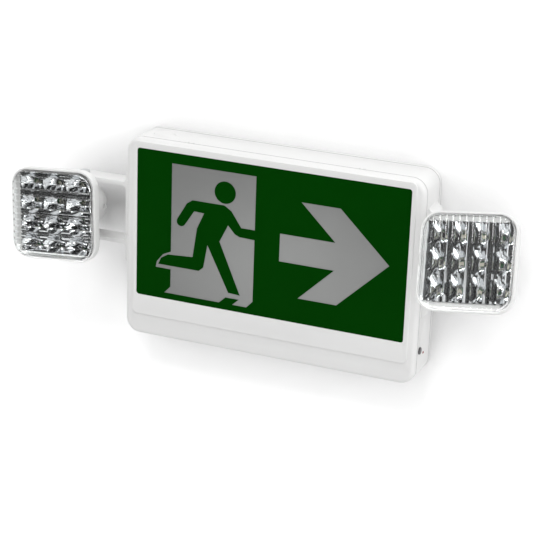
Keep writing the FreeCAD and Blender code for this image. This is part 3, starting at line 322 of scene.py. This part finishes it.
def head_ledge(side):
    """Flat ring with rounded corners and the reflector's opening, in the shell's mouth."""
    bpy.ops.object.select_all(action="DESELECT")
    bpy.ops.mesh.primitive_plane_add(size=LEDGE_W, location=(0, 0, 0))
    ring = bpy.context.object
    ring.name = side + "_head_ledge"
    bpy.ops.object.mode_set(mode="EDIT")
    bpy.ops.mesh.select_all(action="SELECT")
    bpy.ops.mesh.bevel(offset=LEDGE_R, segments=8, affect="VERTICES")
    bpy.ops.mesh.select_all(action="SELECT")
    bpy.ops.mesh.inset(thickness=LEDGE_LIP)
    inner = LEDGE_W - 2 * LEDGE_LIP
    bpy.ops.transform.resize(value=(LEDGE_HOLE[0] / inner, LEDGE_HOLE[1] / inner, 1.0))
    bpy.ops.mesh.delete(type="FACE")
    bpy.ops.object.mode_set(mode="OBJECT")
    wall = ring.modifiers.new("thickness", "SOLIDIFY")
    wall.thickness = LEDGE_T
    wall.offset = -1.0
    bpy.ops.object.modifier_apply(modifier=wall.name)
    joint = next(j for j in frame["joints"] if j["name"] == side + "_lamp_turn")
    pan, tilt, turn = (math.radians(angle) for angle in HEAD_ANGLES[side])
    aim = Matrix.Rotation(pan, 4, "Z") @ Matrix.Rotation(tilt, 4, "X") @ Matrix.Rotation(turn, 4, "Y")
    facing = Matrix.Translation((0, -LEDGE_OUT, 0)) @ Matrix.Rotation(math.radians(90), 4, "X")
    ring.matrix_world = Matrix.Translation(joint["pos_m"]) @ aim @ facing
    bpy.ops.object.transform_apply(location=True, rotation=True, scale=True)
    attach(ring, side + "_head_body")
    return ring


chrome = finished("metallised_reflector", (0.86, 0.87, 0.88), 0.05, (0.04, 0.09), 0.000002)
chrome.node_tree.nodes["Principled BSDF"].inputs["Metallic"].default_value = 1.0
# Painted shade: the ledge is the shell's white ABS made grey, standing in for the shade in the narrow mouth
# behind the lens.
shaded_ledge_abs = finished("shaded_ledge_abs", (0.56, 0.56, 0.555), 0.05, (0.5, 0.6))

clear = bpy.data.materials.new("clear_polycarbonate")
clear.use_nodes = True
tree = clear.node_tree
shader = tree.nodes["Principled BSDF"]
shader.inputs["Base Color"].default_value = (0.97, 0.98, 0.98, 1.0)
shader.inputs["Roughness"].default_value = 0.03
shader.inputs["IOR"].default_value = 1.5
shader.inputs["Transmission Weight"].default_value = 1.0
path = tree.nodes.new("ShaderNodeLightPath")
through = tree.nodes.new("ShaderNodeBsdfTransparent")
either = tree.nodes.new("ShaderNodeMixShader")
tree.links.new(path.outputs["Is Shadow Ray"], either.inputs["Fac"])
tree.links.new(shader.outputs["BSDF"], either.inputs[1])
tree.links.new(through.outputs["BSDF"], either.inputs[2])
tree.links.new(either.outputs["Shader"], tree.nodes["Material Output"].inputs["Surface"])

for side in ("left", "right"):
    head = side + "_head_body"
    paint(head_ledge(side), shaded_ledge_abs)
    paint(eased(side + "_head_shell", head, EDGE_EASE), white_abs)
    paint(eased(side + "_reflector", head, 0.0), chrome)
    paint(eased(side + "_lens", head, 0.0), clear)


# ---------------------------------------------------------------- wall and floor
# The unit hangs on a plain white wall that sweeps down into a pale floor. Behind the
# housing the wall is open, so that the back plate gets light when it is seen from behind.
WALL_Y = 0.0004
WALL_TOP = 2.2
FLOOR_Z = -0.62
FLOOR_DEPTH = 1.0
SWEEP_R = 0.3
SWEEP_W = 5.2
HOLE_W = 0.294
HOLE_H = 0.192
PAINTED_SHADOW_REACH = 0.07
WALL_GLOW = 0.50
BEND_Y = WALL_Y - SWEEP_R
BEND_Z = FLOOR_Z + SWEEP_R


def pick_edge(obj, axis, value):
    """Select the vertices of a mesh that lie at one value along an axis."""
    for vertex in obj.data.vertices:
        vertex.select = abs(vertex.co[axis] - value) < 0.0001
    for edge in obj.data.edges:
        edge.select = all(obj.data.vertices[i].select for i in edge.vertices)
    for face in obj.data.polygons:
        face.select = False


bpy.ops.object.select_all(action="DESELECT")
bpy.ops.mesh.primitive_plane_add(size=1.0, location=(0, 0, 0))
sweep = bpy.context.object
sweep.name = "studio_sweep"
flat = FLOOR_DEPTH - SWEEP_R
bpy.ops.object.mode_set(mode="EDIT")
bpy.ops.mesh.select_all(action="SELECT")
bpy.ops.transform.resize(value=(SWEEP_W, flat, 1.0))
bpy.ops.transform.translate(value=(0, BEND_Y - flat / 2, FLOOR_Z))
bpy.ops.object.mode_set(mode="OBJECT")
pick_edge(sweep, 1, BEND_Y)
bpy.ops.object.mode_set(mode="EDIT")
bpy.ops.mesh.spin(steps=12, angle=math.radians(-90), center=(0, BEND_Y, BEND_Z), axis=(1, 0, 0))
bpy.ops.object.mode_set(mode="OBJECT")
pick_edge(sweep, 2, max(vertex.co.z for vertex in sweep.data.vertices))
bpy.ops.object.mode_set(mode="EDIT")
bpy.ops.mesh.extrude_region_move(TRANSFORM_OT_translate={"value": (0, 0, WALL_TOP - BEND_Z)})
for normal, reach in (((1, 0, 0), HOLE_W / 2), ((0, 0, 1), HOLE_H / 2)):
    for sign in (-1, 1):
        bpy.ops.mesh.select_all(action="SELECT")
        bpy.ops.mesh.bisect(plane_co=Vector(normal) * sign * reach, plane_no=normal)
bpy.ops.mesh.select_all(action="SELECT")
bpy.ops.mesh.remove_doubles(threshold=0.00001)
bpy.ops.mesh.select_mode(type="FACE")
bpy.ops.object.mode_set(mode="OBJECT")
for face in sweep.data.polygons:
    face.select = abs(face.center.x) < HOLE_W / 2 and abs(face.center.z) < HOLE_H / 2
bpy.ops.object.mode_set(mode="EDIT")
bpy.ops.mesh.delete(type="FACE")
bpy.ops.mesh.select_mode(type="VERT")
bpy.ops.mesh.select_all(action="SELECT")
bpy.ops.mesh.normals_make_consistent(inside=False)
bpy.ops.object.mode_set(mode="OBJECT")
if min(sweep.data.polygons, key=lambda face: face.center.z).normal.z < 0:
    bpy.ops.object.mode_set(mode="EDIT")
    bpy.ops.mesh.flip_normals()
    bpy.ops.object.mode_set(mode="OBJECT")
bpy.ops.object.shade_smooth()


def mirrored_ray(tree, path):
    """1 for a ray that comes off metal or through glass, otherwise 0."""
    return reckon(tree, "MAXIMUM", path.outputs["Is Glossy Ray"], path.outputs["Is Transmission Ray"])


# White to the eye and in mirrors, with a painted shadow that makes it darker close to the unit, and clear
# from behind.
paper = bpy.data.materials.new("white_sweep")
paper.use_nodes = True
tree = paper.node_tree
tree.nodes.remove(tree.nodes["Principled BSDF"])
matt = tree.nodes.new("ShaderNodeBsdfDiffuse")
matt.inputs["Color"].default_value = (0.84, 0.84, 0.84, 1.0)
path = tree.nodes.new("ShaderNodeLightPath")
seen = reckon(tree, "MAXIMUM", path.outputs["Is Camera Ray"], mirrored_ray(tree, path))
# Painted shadow: ambient occlusion cuts the wall's white glow down close to the unit, painting a grey halo
# round it.
shadow_occlusion = tree.nodes.new("ShaderNodeAmbientOcclusion")
shadow_occlusion.samples = 8
shadow_occlusion.inputs["Distance"].default_value = PAINTED_SHADOW_REACH
glow_less_painted_shadow = spread(tree, shadow_occlusion.outputs["AO"], 0.45, 1.0, 0.0, WALL_GLOW)
lit = tree.nodes.new("ShaderNodeEmission")
tree.links.new(reckon(tree, "MULTIPLY", seen, glow_less_painted_shadow), lit.inputs["Strength"])
both = tree.nodes.new("ShaderNodeAddShader")
tree.links.new(matt.outputs[0], both.inputs[0])
tree.links.new(lit.outputs[0], both.inputs[1])
behind = tree.nodes.new("ShaderNodeNewGeometry")
nothing = tree.nodes.new("ShaderNodeBsdfTransparent")
one_side = tree.nodes.new("ShaderNodeMixShader")
tree.links.new(behind.outputs["Backfacing"], one_side.inputs["Fac"])
tree.links.new(both.outputs[0], one_side.inputs[1])
tree.links.new(nothing.outputs[0], one_side.inputs[2])
tree.links.new(one_side.outputs[0], tree.nodes["Material Output"].inputs["Surface"])
paint(sweep, paper)


# ---------------------------------------------------------------- light
# A soft light stands above and in front of the unit, and a weaker one to its right. The
# studio is white behind the unit and above, and dark in front, as its metal shows it.
def soft_light(name, place, size, power):
    """Square area lamp turned towards the unit."""
    bpy.ops.object.light_add(type="AREA", location=place)
    lamp = bpy.context.object
    lamp.name = name
    lamp.data.shape = "SQUARE"
    lamp.data.size = size
    lamp.data.energy = power
    lamp.rotation_euler = (-Vector(place)).to_track_quat("-Z", "Y").to_euler()


soft_light("overhead_softbox", (-0.02, -1.25, 1.7), 0.8, 19.5)
soft_light("side_softbox", (1.9, -0.5, 0.5), 0.8, 10.0)

AMBIENT = 0.5
DARK_FRONT = 0.02
studio = bpy.data.worlds.new("studio")
bpy.context.scene.world = studio
studio.use_nodes = True
tree = studio.node_tree
sky = tree.nodes["Background"]
sky.inputs["Color"].default_value = (1.0, 1.0, 1.0, 1.0)
path = tree.nodes.new("ShaderNodeLightPath")
split = tree.nodes.new("ShaderNodeSeparateXYZ")
tree.links.new(tree.nodes.new("ShaderNodeTexCoord").outputs["Generated"], split.inputs[0])
rear = spread(tree, split.outputs["Y"], -0.1, 0.1, DARK_FRONT, 1.0)
aside = reckon(tree, "MULTIPLY_ADD", split.outputs["X"], 0.35, split.outputs["Z"])
upper = spread(tree, aside, 0.30, 0.42, 0.0, 1.0)
room = reckon(tree, "MAXIMUM", upper, rear)
around = spread(tree, mirrored_ray(tree, path), 0.0, 1.0, AMBIENT, room)
tree.links.new(spread(tree, path.outputs["Is Camera Ray"], 0.0, 1.0, around, 1.0), sky.inputs["Strength"])


# ---------------------------------------------------------------- camera
# A long lens looks at the unit from its right and above, with a slight roll.
AZIMUTH = math.radians(22.22)
ELEVATION = math.radians(19.93)
ROLL = math.radians(2.12)
CAMERA_AT = (0.6124, -1.5271, 0.5657)
LENS_MM = 116.5
level = math.cos(ELEVATION)
back = Vector((math.sin(AZIMUTH) * level, -math.cos(AZIMUTH) * level, math.sin(ELEVATION)))
right = (-back).cross(Vector((0, 0, 1))).normalized()
up = right.cross(-back)
camera_x = math.cos(ROLL) * right + math.sin(ROLL) * up
camera_y = -math.sin(ROLL) * right + math.cos(ROLL) * up
bpy.ops.object.camera_add(location=(0, 0, 0))
camera = bpy.context.object
camera.name = "studio_camera"
camera.data.lens = LENS_MM
camera.data.sensor_width = 36.0
turned = Matrix((camera_x, camera_y, back)).transposed().to_4x4()
camera.matrix_world = Matrix.Translation(CAMERA_AT) @ turned
bpy.context.scene.camera = camera
bpy.context.scene.view_settings.view_transform = "Standard"
